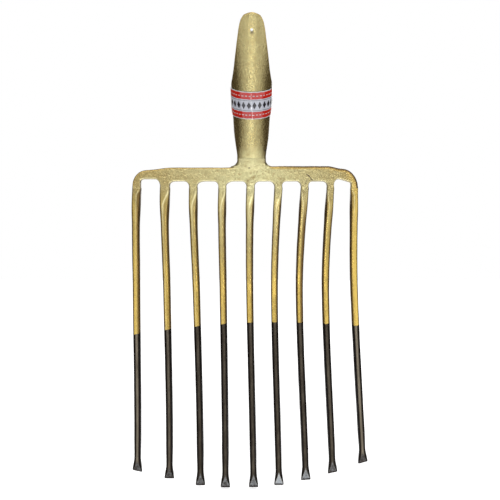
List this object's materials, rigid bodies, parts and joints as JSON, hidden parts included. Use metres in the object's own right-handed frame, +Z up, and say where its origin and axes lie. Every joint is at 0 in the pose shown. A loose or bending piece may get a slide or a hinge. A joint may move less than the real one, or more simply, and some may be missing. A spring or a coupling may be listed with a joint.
{
  "type": "gravel fork",
  "caption": "Forged gravel fork head: a rolled handle socket with a long front tongue, a straight crossbar and long bowed tines that end in flattened tips.",
  "frame": {"origin": "middle of the flat floor of the socket's bore, where the handle's end sits", "axes": "+Z up along the upright head, away from the tines' tips; the load side faces -Y; the socket leans 27 degrees from +Z towards -Y; +X is to the right seen from the load side"},
  "size_m": [0.2747, 0.1442, 0.5248],
  "materials": {
    "gold_paint": "gold-bronze hammered paint over forged steel",
    "tine_finish": "gold-bronze paint on the upper half, bare dark steel on the lower half",
    "paper_label": "blank glossy paper band with pale and red stripes"
  },
  "bodies": {
    "root": {"socket": "gold_paint", "crossbar": "gold_paint", "tine_1": "tine_finish", "tine_2": "tine_finish", "tine_3": "tine_finish", "tine_4": "tine_finish", "tine_5": "tine_finish", "tine_6": "tine_finish", "tine_7": "tine_finish", "tine_8": "tine_finish", "tine_9": "tine_finish", "label_band": "paper_label"}
  },
  "joints": []
}
